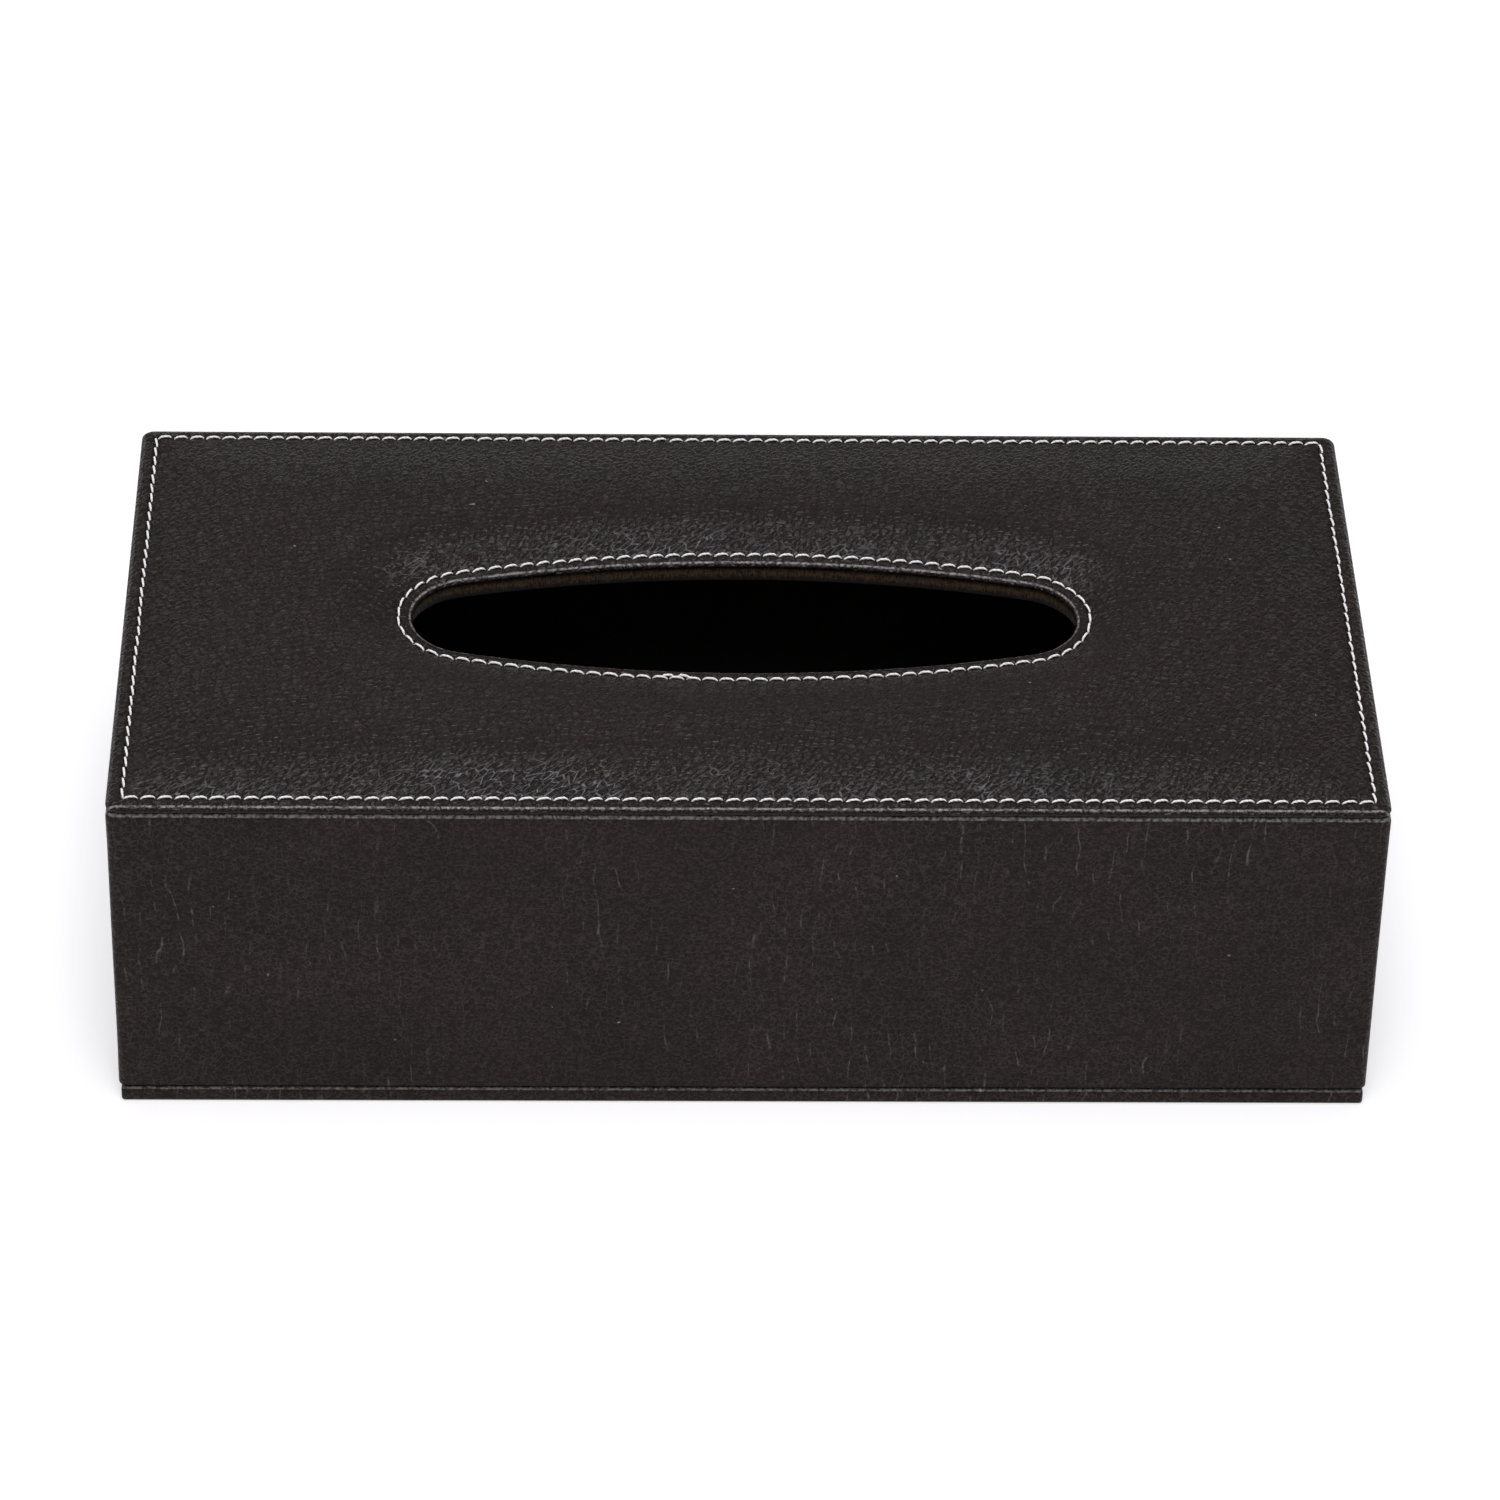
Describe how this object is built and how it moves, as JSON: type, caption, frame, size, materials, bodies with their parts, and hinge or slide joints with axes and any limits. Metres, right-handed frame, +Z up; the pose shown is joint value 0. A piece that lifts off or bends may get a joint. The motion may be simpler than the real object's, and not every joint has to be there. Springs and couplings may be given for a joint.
{
  "type": "tissue box cover",
  "caption": "Flat rectangular tissue box cover in dark leatherette, with a padded top, a stitched oval slot, and a base flap hinged along the rear edge.",
  "frame": {"origin": "middle of the underside, on the surface that the cover stands on", "axes": "+X along the length, to the right seen from the front; +Y towards the rear, where the hinge is; +Z up"},
  "size_m": [0.25, 0.1304, 0.0759],
  "materials": {
    "leather": "pebble grain, satin",
    "foam": "open cell foam",
    "thread": "twisted thread",
    "board": "fibreboard",
    "collar_tape": "ribbed tape",
    "lining": "short pile",
    "magnet": "nickel plated",
    "keeper": "rolled"
  },
  "bodies": {
    "case": {"top_leather": "leather", "top_foam_pad": "foam", "top_seam_stitches": "thread", "slot_seam_stitches": "thread", "top_board": "board", "front_wall_board": "board", "rear_wall_board": "board", "left_wall_board": "board", "right_wall_board": "board", "wall_leather": "leather", "slot_collar": "collar_tape", "top_lining": "lining", "front_lining": "lining", "rear_lining": "lining", "left_lining": "lining", "right_lining": "lining", "wall_magnets": "magnet", "hinge_strip": "leather"},
    "base_flap": {"base_board": "board", "base_leather": "leather", "base_lining": "lining", "base_keepers": "keeper"}
  },
  "joints": [
    {"name": "base_flap_hinge", "type": "hinge", "parent": "case", "child": "base_flap", "pos_m": [0, 0.065, 0.00335], "axis": [1, 0, 0], "range_deg": [0, 178], "deforming": ["hinge_strip"]}
  ]
}
